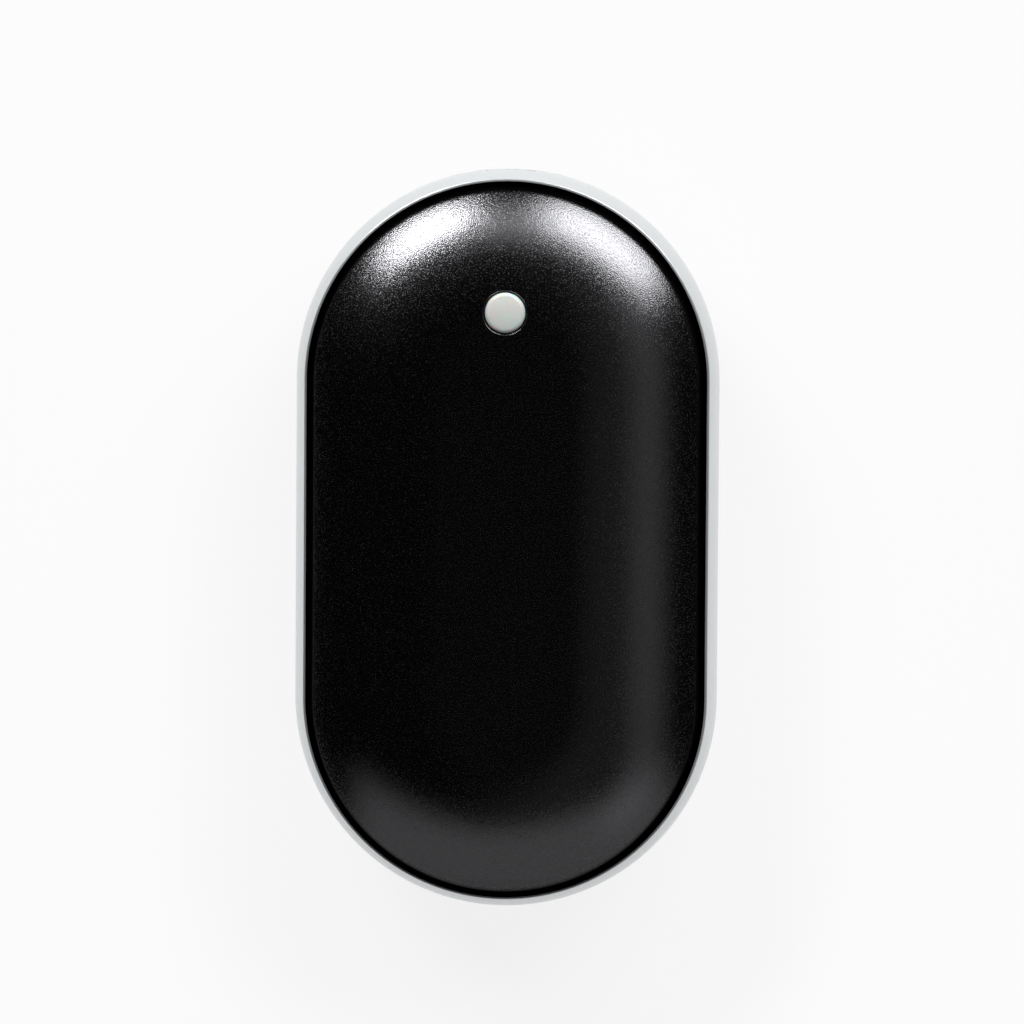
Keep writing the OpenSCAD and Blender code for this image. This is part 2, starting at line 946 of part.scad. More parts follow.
// Part of a layer that lies behind the shell, between two depths and two Y places
module layer(near, far, half, start, end) {
    intersection() {
        sweep()
            difference() {
                intersection() {
                    dome_profile(near, seam_z);
                    translate([0, seam_z])
                        square([half, body_h]);
                }
                dome_profile(far, seam_z - cut);
            }
        box([-half_w, start, 0], [half_w, end, body_h]);
    }
}

// Winding track on the flat middle of a heater film
module track() {
    run = room - spine;
    turn_x = track_half - track_w / 2;
    count = floor((pad_end - track_pitch - run) / track_pitch);
    translate([0, 0, track_low])
        linear_extrude(track_t) {
            for (i = [0 : count])
                translate([-track_half, run + i * track_pitch])
                    square([2 * track_half, track_w]);
            for (i = [0 : count - 1])
                translate([(i % 2 == 0 ? turn_x : -turn_x) - track_w / 2, run + i * track_pitch])
                    square([track_w, track_pitch + track_w]);
        }
}

module front_heater_film() {
    color("#c98a2e")
        layer(film_inset, film_inset + film_t, film_half, heater_start, heater_end);
}

module rear_heater_film() {
    color("#c98a2e")
        to_rear()
            layer(film_inset, film_inset + film_t, film_half, heater_start, heater_end);
}

module front_heater_track() {
    color("#9c6a3a")
        track();
}

module rear_heater_track() {
    color("#9c6a3a")
        to_rear()
            track();
}

module front_pad() {
    color("#5b5f63")
        layer(pad_inset, pad_inset + front_pad_t, film_half, heater_start, pad_end);
}

module rear_pad() {
    color("#5b5f63")
        to_rear()
            layer(pad_inset, pad_inset + rear_pad_t, film_half, heater_start, pad_end);
}

// Pair of wires from a heater film to the board, at one side of the middle
module heater_leads(side, far_z) {
    start_z = film_low - lead_r;
    for (i = [0, 1]) {
        x = side * (lead_x - i * 2 * lead_pitch / 2);
        wire([[x, heater_end - 4 * lead_r, start_z],
            [x, lead_y, start_z - 2 * lead_r],
            [x, lead_y, far_z + 4 * lead_r],
            [x, board_y + 4 * lead_r, far_z + 2 * lead_r],
            [x, board_y + 4 * lead_r, far_z]], lead_r);
    }
}

module front_heater_leads() {
    color("#b02a24")
        heater_leads(-1, board_top);
}

module rear_heater_leads() {
    color("#b02a24")
        to_rear()
            heater_leads(1, body_h - board_z);
}

// Temperature sensor on the bare end of a heater film
module thermistor() {
    translate([-bead_w / 2, heater_end - bead_l, film_low - bead_h])
        cube([bead_w, bead_l, bead_h]);
}

module front_thermistor() {
    color("#20242c")
        thermistor();
}

module rear_thermistor() {
    color("#20242c")
        to_rear()
            thermistor();
}

front_shell();
rear_shell();
mid_frame();
front_liner();
rear_liner();
button_cap();
switch_base();
switch_cover();
switch_plunger();
switch_dome();
switch_pins();
circuit_board();
inlet_shell();
inlet_tongue();
inlet_contacts();
light_guides();
indicator_leds();
button_led();
inductor_core();
inductor_winding();
charge_ic();
control_ic();
heater_mosfets();
capacitors();
resistors();
board_screws();
left_cell();
right_cell();
cell_terminals();
cell_washers();
positive_strip();
negative_strip();
negative_lead();
battery_tray();
tray_screws();
front_heater_film();
front_heater_track();
rear_heater_film();
rear_heater_track();
front_heater_leads();
rear_heater_leads();
front_thermistor();
rear_thermistor();
front_pad();
rear_pad();
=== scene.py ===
"""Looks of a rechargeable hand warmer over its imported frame.

The two shells, the band, the button, the charging inlet and the light guides are made as
fine surfaces from the frame's own sizes. Every other piece keeps its solid and gets a
finish. Lengths are in metres, +Y points to the end with the inlet, +Z leaves the front.
"""

import bmesh
import bpy
import numpy as np
from bpy.props import FloatProperty, FloatVectorProperty, PointerProperty
from mathutils import Matrix, Vector


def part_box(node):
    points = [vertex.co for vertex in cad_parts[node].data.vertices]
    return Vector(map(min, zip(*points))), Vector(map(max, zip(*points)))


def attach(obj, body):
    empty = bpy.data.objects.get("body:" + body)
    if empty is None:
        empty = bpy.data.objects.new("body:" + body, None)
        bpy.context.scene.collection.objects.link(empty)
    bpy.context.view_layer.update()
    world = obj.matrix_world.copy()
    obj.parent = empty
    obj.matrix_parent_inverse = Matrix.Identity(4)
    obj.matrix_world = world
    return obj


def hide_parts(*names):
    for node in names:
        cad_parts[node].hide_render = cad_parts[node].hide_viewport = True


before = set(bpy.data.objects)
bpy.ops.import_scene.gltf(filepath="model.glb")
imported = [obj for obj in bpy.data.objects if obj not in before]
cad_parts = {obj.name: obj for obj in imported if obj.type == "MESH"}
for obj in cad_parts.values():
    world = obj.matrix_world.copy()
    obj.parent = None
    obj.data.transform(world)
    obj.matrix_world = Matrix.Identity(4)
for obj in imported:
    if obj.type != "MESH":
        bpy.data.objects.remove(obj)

bl_info = {
    "name": "Rechargeable hand warmer",
    "version": (1, 0, 0),
    "blender": (4, 5, 0),
    "location": "3D View > Sidebar > Hand warmer",
    "description": "Dresses the packed hand warmer and lights it in a plain studio",
    "category": "Object",
}

MM = 0.001
SHELL_LOW, SHELL_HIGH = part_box("front_shell")
BUTTON_LOW, BUTTON_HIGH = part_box("button_cap")
INLET_LOW, INLET_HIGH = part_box("inlet_shell")
GUIDE_LOW, GUIDE_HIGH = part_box("light_guides")
TONGUE_LOW, TONGUE_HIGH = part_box("inlet_tongue")
TRAY_SCREW_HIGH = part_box("tray_screws")[1]
BOARD_SCREW_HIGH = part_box("board_screws")[1]


def length(name, description, default):
    """A length in metres that a user can change."""
    return FloatProperty(name=name, description=description, default=default, min=0.0, unit="LENGTH",
                         precision=5)


def colour(name, description, code):
    """A colour that a user can change, given as an sRGB hex code."""
    return FloatVectorProperty(name=name, description=description, default=linear(code), size=4, min=0.0,
                               max=1.0, subtype="COLOR")


def linear(code):
    """An sRGB hex code as linear red, green, blue and alpha: the value over 12.92 up to 0.04045, and
    ((value + 0.055) / 1.055) to the power 2.4 above it."""
    channels = np.array([int(code[i:i + 2], 16) for i in (1, 3, 5)]) / 255
    light = np.where(channels <= 0.04045, channels / 12.92, ((channels + 0.055) / 1.055) ** 2.4)
    return (*map(float, light), 1.0)


class CaseSizes(bpy.types.PropertyGroup):
    """Sizes of the shells and the band."""
    spine_half: length("Spine", "Half length of the straight spine that the outline runs round",
                       SHELL_HIGH.y - SHELL_HIGH.x)
    rim_half: length("Shell rim", "Distance from the spine to a shell's rim", SHELL_HIGH.x)
    thickness: length("Thickness", "Height over the two shells", SHELL_HIGH.z)
    seam: length("Seam", "Height of the front shell's lower edge", SHELL_LOW.z)
    wall: length("Shell wall", "Thickness of a shell", 0.8 * MM)
    flat_half: length("Flat middle", "Half width of a shell's flat middle", 9.2 * MM)
    bend_radius: length("Bend", "Radius of the bend between the crown and the rim", 3.5 * MM)
    rim_rise: length("Rim rise", "Straight part of the rim under the bend", 0.3 * MM)
    band_half: length("Band", "Distance from the spine to the band's outermost line", 30 * MM)
    band_bulge: length("Band bulge", "How far the band's middle stands out past its edges", 1.4 * MM)
    band_inside: length("Band inside", "Distance from the spine to the band's inner wall", 27.55 * MM)
    flange_inside: length("Flange", "Distance from the spine to the flange's inner edge", 25.9 * MM)
    edge_soft: length("Soft edges", "Reach of the small roundings on the moulded edges", 0.12 * MM)


class ButtonSizes(bpy.types.PropertyGroup):
    """Sizes of the push button and its hole."""
    place: length("Place", "Distance of the button from the middle of the case",
                  (BUTTON_LOW.y + BUTTON_HIGH.y) / 2)
    radius: length("Radius", "Radius of the button's head", 2.85 * MM)
    dome_radius: length("Dome", "Radius of the dome on its head", 12 * MM)
    dome_height: length("Dome top", "Height of the dome's top", BUTTON_HIGH.z)
    edge: length("Edge", "Reach of the rounding at the head's edge", 0.6 * MM)
    collar_radius: length("Collar", "Radius of the collar under the shell", BUTTON_HIGH.x)
    stem_radius: length("Stem", "Radius of the stem that meets the switch", 1.7 * MM)
    hole_radius: length("Hole", "Radius of the hole in the shell", 3.05 * MM)
    bevel: length("Bevel", "Width of the bevel round the hole", 0.1 * MM)


class InletSizes(bpy.types.PropertyGroup):
    """Sizes of the charging inlet and the light guides."""
    can_wall: length("Can wall", "Wall of the inlet's metal can", 0.3 * MM)
    gap: length("Gap", "Gap between the can and the band", 0.15 * MM)
    guide_radius: length("Guide", "Radius of a light guide", (GUIDE_HIGH.z - GUIDE_LOW.z) / 2)
    guide_gap: length("Guide gap", "Gap between a light guide and the band", 0.1 * MM)


class StudioSettings(bpy.types.PropertyGroup):
    """Level of the studio's light and colour of its floor."""
    strength: FloatProperty(name="Strength", description="Brightness that all the lamps are multiplied by",
                            default=1.0, min=0.0)
    floor_colour: colour("Floor", "Colour of the floor and its rim", "#F4F4F4")
    world_colour: colour("Surroundings", "Colour of the dim room above", "#0E0E0F")


# Surfaces shared by the pieces

def around(q, u, case):
    """Plan of the case. A walk of length q along the band goes round the +Y end from its tip, and
    turns by q over the band's half width there; past a quarter turn it runs straight down the side,
    and then round the other end. The point lies at the distance u from the spine. Walks to the left
    are negative."""
    quarter = np.pi / 2 * case.band_half
    straight = np.clip(np.abs(q) - quarter, 0, 2 * case.spine_half)
    angle = (np.abs(q) - straight) / case.band_half
    return np.sign(q) * u * np.sin(angle), case.spine_half - straight + u * np.cos(angle)


def girth(case):
    """Whole way round the band: two straights and two half circles."""
    return 4 * case.spine_half + 2 * np.pi * case.band_half


def either_way(walk, case):
    """Walks along the band, with those past half way counted backwards from the other side."""
    return np.where(walk > girth(case) / 2, walk - girth(case), walk)


def from_spine(x, y, case):
    """Distance of a plan point from the spine."""
    return np.hypot(x, np.maximum(np.abs(y) - case.spine_half, 0))


def soften(start, tip, end, steps=5):
    """Rounded corner: the parabola from start to end whose tangents meet in the tip,
    (1 - t)^2 start + 2 t (1 - t) tip + t^2 end."""
    t = np.linspace(0, 1, steps)[:, None]
    return (1 - t) ** 2 * np.array(start) + 2 * t * (1 - t) * np.array(tip) + t ** 2 * np.array(end)


def rounded(corners, reach, steps=5):
    """Closed outline with every corner softened from `reach` before it to `reach` after it."""
    corners = np.asarray(corners, float)
    before, after = np.roll(corners, 1, 0) - corners, np.roll(corners, -1, 0) - corners
    start = corners + reach * before / np.linalg.norm(before, axis=1)[:, None]
    end = corners + reach * after / np.linalg.norm(after, axis=1)[:, None]
    t = np.linspace(0, 1, steps)[None, :, None]
    curve = (1 - t) ** 2 * start[:, None] + 2 * t * (1 - t) * corners[:, None] + t ** 2 * end[:, None]
    curve = curve.reshape(-1, 2)
    return np.vstack([curve, curve[:1]])


def lathe(profile, centre, steps=128):
    """Profile of (radius, height) points turned once round the upright axis through the centre."""
    angle = np.linspace(0, 2 * np.pi, steps + 1)
    radius, height = profile[:, :1], profile[:, 1:]
    return np.stack([centre[0] + radius * np.cos(angle), centre[1] + radius * np.sin(angle),
                     height + 0 * angle], -1)


def loft(outline, insets, depths):
    """Outlines in the X, Z plane, one for each inset, each at its own Y. Both ends are closed by a ring
    drawn together into its middle."""
    flat = np.stack([outline(inset) for inset in insets])
    deep = np.repeat(np.reshape(depths, (-1, 1)), flat.shape[1], 1)
    rings = np.stack([flat[..., 0], deep, flat[..., 1]], -1)
    first, last = (np.repeat(rings[[side]].mean(1, keepdims=True), rings.shape[1], 1) for side in (0, -1))
    return np.vstack([first, rings, last])


def piece(name, patches, body, nodes, slot):
    """Makes one object of several grids of points. Each grid is rows x columns x 3, with a mask of
    the faces to keep or None. Points that meet are merged, and faces turned outwards and shaded
    smooth. An open edge is an error."""
    points, faces, count = [], [], 0
    for grid, keep in patches:
        rows, columns = grid.shape[:2]
        corner = np.arange(rows - 1)[:, None] * columns + np.arange(columns - 1)
        quads = np.stack([corner, corner + 1, corner + columns + 1, corner + columns], -1)
        faces.append((quads if keep is None else quads[keep]).reshape(-1, 4) + count)
        points.append(grid.reshape(-1, 3))
        count += rows * columns
    mesh = bpy.data.meshes.new(name)
    mesh.from_pydata(np.vstack(points), [], np.vstack(faces).tolist())
    work = bmesh.new()
    work.from_mesh(mesh)
    bmesh.ops.remove_doubles(work, verts=work.verts, dist=0.0005 * MM)
    bmesh.ops.dissolve_degenerate(work, edges=work.edges, dist=0.0001 * MM)
    bmesh.ops.recalc_face_normals(work, faces=work.faces)
    work.to_mesh(mesh)
    open_edges = sum(not edge.is_manifold for edge in work.edges)
    work.free()
    if open_edges:
        raise RuntimeError(f"{name} has {open_edges} open edges")
    mesh.shade_smooth()
    made = bpy.data.objects.new(name, mesh)
    bpy.context.scene.collection.objects.link(made)
    mesh.materials.append(finish(slot))
    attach(made, body)
    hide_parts(*nodes)
    return made


# Shells

def crown_radius(case):
    """Radius of a shell's crown, which leaves the flat middle level and runs on into the bend: with
    the way w from the flat's end to the bend's centre, the drop d to the bend's top and the bend's
    radius b, it is (w^2 / d + 2 b + d) / 2."""
    way = case.rim_half - case.bend_radius - case.flat_half
    drop = case.thickness - case.seam - case.rim_rise - case.bend_radius
    return (way ** 2 / drop + 2 * case.bend_radius + drop) / 2


def face_height(u, inset, case):
    """Height of a shell's face at the distance u from the spine: level over the flat middle, then
    top - R + sqrt((R - inset)^2 - (u - flat)^2) on the crown of radius R."""
    crown, fall = crown_radius(case), np.maximum(u - case.flat_half, 0)
    return case.thickness - crown + np.sqrt((crown - inset) ** 2 - fall ** 2)


def edge_profile(start, inset, case):
    """Profile of a shell's face from the distance `start` on the crown to the rim, as (u, z): the
    crown's arc up to where it meets the bend, and the bend's arc down to level with its centre."""
    bend_u, bend_z, crown_r = case.rim_half - case.bend_radius, case.seam + case.rim_rise, crown_radius(case)
    meet = np.arcsin((bend_u - case.flat_half) / (crown_r - case.bend_radius))
    centre_z, crown_r, bend_r = case.thickness - crown_r, crown_r - inset, case.bend_radius - inset
    crown = np.linspace(np.arcsin((start - case.flat_half) / crown_r), meet, 24)
    bend = np.linspace(meet, np.pi / 2, 16)[1:]
    return np.vstack([
        np.column_stack([case.flat_half + crown_r * np.sin(crown), centre_z + crown_r * np.cos(crown)]),
        np.column_stack([bend_u + bend_r * np.sin(bend), bend_z + bend_r * np.cos(bend)])])


def shell_grid(case, button=None, columns=448):
    """One shell as a closed grid. Its rows start at the middle of the outer face, which is the spine,
    or the rim of the button's hole. They spread in straight lines to an outline on the crown, follow
    the profile over the bend to the rim, and return under the wall. In the hole, the wall's rows lie
    at depths under the face, and the bevel is the lower of a 45-degree cone and the face, blended by
    (a + b - sqrt((a - b)^2 + k^2)) / 2."""
    q = np.linspace(-0.5, 0.5, columns + 1) * girth(case)
    # Distance from the spine of the outline where the straight rows end.
    spread = 17 * MM
    out_x, out_y = around(q, spread, case)
    outer, inner = edge_profile(spread, 0, case), edge_profile(spread, case.wall, case)
    lip, rim, inside = 0.08 * MM, case.rim_half, case.rim_half - case.wall
    profile = np.vstack([
        outer,
        soften((rim, case.seam + lip), (rim, case.seam), (rim - lip, case.seam)),
        soften((inside + lip, case.seam), (inside, case.seam), (inside, case.seam + lip)),
        inner[::-1]])
    edge = np.stack([*around(q, profile[:, :1], case), profile[:, 1:] + 0 * q], -1)
    ways = np.linspace(0, 1, 49)[:-1, None]

    def middle(near_x, near_y, inset):
        x, y = near_x + ways * (out_x - near_x), near_y + ways * (out_y - near_y)
        return np.stack([x, y, face_height(from_spine(x, y, case), inset, case)], -1)

    if button is None:
        spine_x, spine_y = around(q, 0.0, case)
        return np.vstack([middle(spine_x, spine_y, 0), edge, middle(spine_x, spine_y, case.wall)[::-1]])
    away = np.stack([out_x, out_y - button.place])
    away /= np.linalg.norm(away, axis=0)
    hole, bevel, wall = button.hole_radius, button.bevel, case.wall
    # Radius where the hole's own rows end, reach of the small roundings, and height of the bevel's foot.
    clear, small, foot = hole + bevel + 0.4 * MM, 0.06 * MM, case.thickness - bevel
    cone = np.linspace(hole + small, hole + bevel + 0.2 * MM, 14)[:, None]

    def rows(radius, height):
        x, y = radius * away[0], button.place + radius * away[1]
        return np.stack([x, y, height(face_height(from_spine(x, y, case), 0, case))], -1)

    def bevelled(face):
        slope = foot + cone - hole
        return (face + slope - np.hypot(face - slope, small / 2)) / 2

    lower = np.vstack([[(clear, wall)], soften((hole + small, wall), (hole, wall), (hole, wall - small))])
    turn = soften((hole, -small), (hole, 0), (hole + 0.7 * small, 0.7 * small))
    rings = np.vstack([rows(lower[:, :1], lambda face: face - lower[:, 1:]),
                       rows(turn[:, :1], lambda face: foot + turn[:, 1:] + 0 * face),
                       rows(cone, bevelled)])
    near = clear * away
    start = np.vstack([rings, middle(near[0], button.place + near[1], 0)])
    under = middle(near[0], button.place + near[1], wall)[::-1]
    return np.vstack([start, edge, under, rings[:1]])


# Band

def band_face(z, case):
    """Distance of the band's bulged outside from the spine at the height z: an arc through the band's
    two edges that stands out by the bulge at mid height."""
    middle = case.thickness / 2
    half = case.seam - middle
    radius = (half ** 2 + case.band_bulge ** 2) / (2 * case.band_bulge)
    return case.band_half - radius + np.sqrt(radius ** 2 - (z - middle) ** 2)


def port(cell, centre, half, corner, case, soft):
    """Lining of one opening through the band. Its rings start on a rectangle of the outside, in walk
    and height, close in to the rounded opening, roll over its edge by (1 - cos) of the reach, run
    straight in, and spread again on the inner wall. A point of the rectangle belongs to the point of
    the opening in the same direction."""
    (q_low, q_high, across), (z_low, z_high, up) = cell
    q_side, z_side = np.linspace(q_low, q_high, across + 1), np.linspace(z_low, z_high, up + 1)
    loop_q = np.concatenate([q_side, np.full(up - 1, q_high), q_side[::-1], np.full(up, q_low)])
    loop_z = np.concatenate([np.full(across + 1, z_low), z_side[1:-1], np.full(across + 1, z_high),
                             z_side[::-1][1:]])
    toward = np.stack([(2 * loop_q - q_low - q_high) / (q_high - q_low),
                       (2 * loop_z - z_low - z_high) / (z_high - z_low)])
    aside = np.sin(loop_q / case.band_half)
    outer_x, inner_x = band_face(loop_z, case) * aside, case.band_inside * aside

    def rim(grow):
        size, bend = np.array(half)[:, None] + grow, corner + grow
        spot = toward * size
        core = np.clip(spot, bend - size, size - bend)
        out = spot - core
        return np.array(centre)[:, None] + core + bend * out / np.maximum(np.hypot(*out), 1e-12)

    def on_outside(x, z, depth):
        return np.stack([x, case.spine_half + np.sqrt(band_face(z, case) ** 2 - x ** 2) - depth, z], -1)

    def on_inside(x, z):
        return np.stack([x, case.spine_half + np.sqrt(case.band_inside ** 2 - x ** 2), z], -1)

    rings = []
    wide, tight = rim(soft), rim(0)
    for way in (0, 0.35, 0.65, 0.85, 1):
        rings.append(on_outside(outer_x + way * (wide[0] - outer_x), loop_z + way * (wide[1] - loop_z), 0))
    for angle in np.linspace(0, np.pi / 2, 6)[1:]:
        rings.append(on_outside(*rim(soft * (1 - np.sin(angle))), soft * (1 - np.cos(angle))))
    straight_end = 1.2 * MM
    rings.append(on_outside(*tight, straight_end))
    for way in (1, 0.5, 0):
        rings.append(on_inside(inner_x + way * (tight[0] - inner_x), loop_z + way * (tight[1] - loop_z)))
    return np.stack(rings)


def band_patches(case, inlet):
    """The band as a closed section carried round the case, with the inlet's mouth and the two holes
    for the light guides let in as linings, and the inner flange and screw lugs as solids that reach
    into its wall."""
    middle, soft = case.thickness / 2, case.edge_soft
    low, high = case.thickness - case.seam, case.seam
    # Each lining takes the place of a rectangle of the band's grid, this far above and below the
    # middle. The inlet's rectangle reaches to the split, and a guide's from there to the end.
    block_z, split, end = 2.2 * MM, 4.1 * MM, 8 * MM
    plain, up = 9, 20
    z = np.concatenate([np.linspace(low + soft, middle - block_z, plain),
                        np.linspace(-block_z, block_z, up + 1)[1:-1] + middle,
                        np.linspace(middle + block_z, high - soft, plain)])
    first = plain - 1
    face = np.column_stack([band_face(z, case), z])
    wall = np.column_stack([np.full(len(z), case.band_inside), z])[::-1]
    edge_u = case.band_half - case.band_bulge
    over = np.vstack([soften(face[-1], (edge_u, high), (edge_u - soft, high)),
                      soften((case.band_inside + soft, high), (case.band_inside, high), wall[0])])
    under = over[::-1] * (1, -1) + (0, case.thickness)
    section = np.vstack([face, over[1:-1], wall, under[1:-1], face[:1]])
    inner_first = len(z) + len(over) - 2 + (len(z) - 1 - first - up)

    narrow, broad = 20, 40
    steps = [(-end, -split, narrow), (-split, split, broad), (split, end, narrow)]
    walk = np.concatenate([np.linspace(a, b, n + 1)[:-1] for a, b, n in steps] +
                          [np.linspace(end, girth(case) - end, 440)])
    walk = either_way(walk, case)
    ring = np.stack([*around(walk, section[:, :1], case), section[:, 1:] + 0 * walk], -1)
    keep = np.ones((len(section) - 1, len(walk) - 1), bool)
    for row in (first, inner_first):
        keep[row:row + up, :2 * narrow + broad] = False

    guide_x, guide_r = GUIDE_HIGH.x - inlet.guide_radius, inlet.guide_radius + inlet.guide_gap
    mouth = (INLET_HIGH.x + inlet.gap, INLET_HIGH.z - middle + inlet.gap)
    # For each opening: its centre, half sizes, corner radius and the reach of its edge's rounding.
    openings = [((-guide_x, middle), (guide_r, guide_r), guide_r, 0.07 * MM),
                ((0, middle), mouth, 0.5 * MM, 0.12 * MM),
                ((guide_x, middle), (guide_r, guide_r), guide_r, 0.07 * MM)]
    patches = [(ring, keep)]
    for step, (centre, half, corner, reach) in zip(steps, openings):
        cell = (step, (middle - block_z, middle + block_z, up))
        patches.append((port(cell, centre, half, corner, case, reach), None))

    flange_h, flange_in = (INLET_HIGH.z - INLET_LOW.z) / 2, case.flange_inside
    bite, flange_start = case.band_inside + 0.05 * MM, 9.9 * MM
    flange = rounded([(bite, middle - flange_h), (bite, middle + flange_h), (flange_in, middle + flange_h),
                      (flange_in, middle - flange_h)], 0.15 * MM)
    run = either_way(np.linspace(flange_start, girth(case) - flange_start, 361), case)
    strip = np.stack([*around(run, flange[:, :1], case), flange[:, 1:] + 0 * run], -1)
    ends = [np.repeat(strip[:, [side]].mean(0, keepdims=True), len(strip), 0) for side in (0, -1)]
    patches.append((np.hstack([ends[0], strip, ends[1]]), None))

    # Radii of a screw's head, of the lug that it goes into and of the lug's bore.
    head, lug, pilot = 1.8 * MM, 2.4 * MM, 1.05 * MM
    tube = rounded([(pilot, middle - flange_h), (lug, middle - flange_h), (lug, middle + flange_h),
                    (pilot, middle + flange_h)], 0.1 * MM)
    tray_x, tray_y = TRAY_SCREW_HIGH.x - head, TRAY_SCREW_HIGH.y - head
    board_x, board_y = BOARD_SCREW_HIGH.x - head, BOARD_SCREW_HIGH.y - head
    places = [(side * tray_x, along * tray_y) for side in (-1, 1) for along in (-1, 1)]
    places += [(side * board_x, board_y) for side in (-1, 1)]
    patches += [(lathe(tube, place, 48), None) for place in places]
    return patches


# Button, inlet and light guides

def button_grid(case, button):
    """The button as one turned profile: the dome's arc, the rounded edge, the side, the collar under
    the shell and the stem down to the switch."""
    across = np.linspace(0, button.radius - button.edge, 20)
    ball = button.dome_radius
    dome = np.column_stack([across, button.dome_height - ball + np.sqrt(ball ** 2 - across ** 2)])
    edge_z = button.dome_height - ball + np.sqrt(ball ** 2 - button.radius ** 2)
    reach = button.place - case.spine_half + button.collar_radius
    collar_top = face_height(reach, 0, case) - case.wall - 0.3 * MM
    collar_low, foot, soft = collar_top - 0.8 * MM, BUTTON_LOW.z, 0.1 * MM
    r, collar, stem = button.radius, button.collar_radius, button.stem_radius
    profile = np.vstack([
        dome[:-1],
        soften(dome[-1], (r, edge_z), (r, edge_z - button.edge), 9),
        soften((r, collar_top + soft), (r, collar_top), (r + soft, collar_top)),
        soften((collar - soft, collar_top), (collar, collar_top), (collar, collar_top - soft)),
        soften((collar, collar_low + soft), (collar, collar_low), (collar - soft, collar_low)),
        soften((stem + soft, collar_low), (stem, collar_low), (stem, collar_low - soft)),
        soften((stem, foot + soft), (stem, foot), (stem - soft, foot)),
        [(0, foot)]])
    return lathe(profile, (0, button.place))


def can_outline(inset):
    """Outline of the inlet's can, drawn in by an inset: flat on top and slanted at the lower corners
    by a third of its height, with softened corners."""
    middle = (INLET_HIGH.z + INLET_LOW.z) / 2
    w, h, slant = INLET_HIGH.x - inset, INLET_HIGH.z - middle - inset, (INLET_HIGH.z - INLET_LOW.z) / 3
    corners = [(-w, h), (w, h), (w, slant - h), (w - slant, -h), (slant - w, -h), (-w, slant - h)]
    return rounded(corners, 0.42 * MM - 0.6 * inset, 7) + (0, middle)


def can_grid(inlet):
    """The inlet's can: its outside from the closed back to the mouth, the rolled lip, and its inside
    down to the floor."""
    t, mouth, back = inlet.can_wall, INLET_HIGH.y, INLET_LOW.y
    lip = soften((0, -0.1 * MM), (0, 0), (0.12 * MM, 0))
    inner_lip = soften((t - 0.12 * MM, 0), (t, 0), (t, -0.1 * MM))
    insets = np.concatenate([[0], lip[:, 0], inner_lip[:, 0], [t]])
    depths = np.concatenate([[back], mouth + lip[:, 1], mouth + inner_lip[:, 1], [back + t]])
    return loft(can_outline, insets, depths)


def bar_grid(x_half, z_low, z_high, y_low, y_high, soft):
    """A moulded bar along Y with a rounded outline, drawn in at both ends and closed there."""
    def outline(inset):
        return rounded([(-x_half + inset, z_low + inset), (x_half - inset, z_low + inset),
                        (x_half - inset, z_high - inset), (-x_half + inset, z_high - inset)], soft)

    start, end = soften((soft, 0), (0, 0), (0, soft)), soften((0, -soft), (0, 0), (soft, 0))
    insets = np.concatenate([start[:, 0], end[:, 0]])
    depths = np.concatenate([y_low + start[:, 1], y_high + end[:, 1]])
    return loft(outline, insets, depths)


def guide_grid(side, case, inlet):
    """One light guide: a round rod along Y whose front follows the band's bulge just under it, with a
    softened edge, and whose back is flat."""
    radius, soft, under = inlet.guide_radius, 0.12 * MM, 0.1 * MM
    edge = soften((radius - soft, 0), (radius, 0), (radius, soft))
    middle = np.linspace(0, radius - soft, 9)[:-1]
    ring = np.concatenate([middle, edge[:, 0]])[:, None]
    depth = np.concatenate([0 * middle, edge[:, 1]])[:, None] + under
    angle = np.linspace(0, 2 * np.pi, 65)
    x = side * (GUIDE_HIGH.x - radius) + ring * np.cos(angle)
    z = case.thickness / 2 + ring * np.sin(angle)
    front = np.stack([x, case.spine_half + np.sqrt(band_face(z, case) ** 2 - x ** 2) - depth, z], -1)
    back = np.stack([x[-1], np.full(len(angle), GUIDE_LOW.y), z[-1]], -1)
    return np.vstack([front, [back], np.repeat(back.mean(0, keepdims=True), len(angle), 0)[None]])


# Finishes

def add(tree, kind, settings=None, outputs=0, **properties):
    """Adds a node of a kind to a tree. Settings go to its inputs by name or number, a socket as a
    link and anything else as a value; properties go to the node itself. Returns one output."""
    made = tree.nodes.new(kind)
    for name, value in properties.items():
        setattr(made, name, value)
    for key, value in (settings or {}).items():
        if isinstance(value, bpy.types.NodeSocket):
            tree.links.new(value, made.inputs[key])
        else:
            made.inputs[key].default_value = value
    return made.outputs[outputs] if len(made.outputs) else made


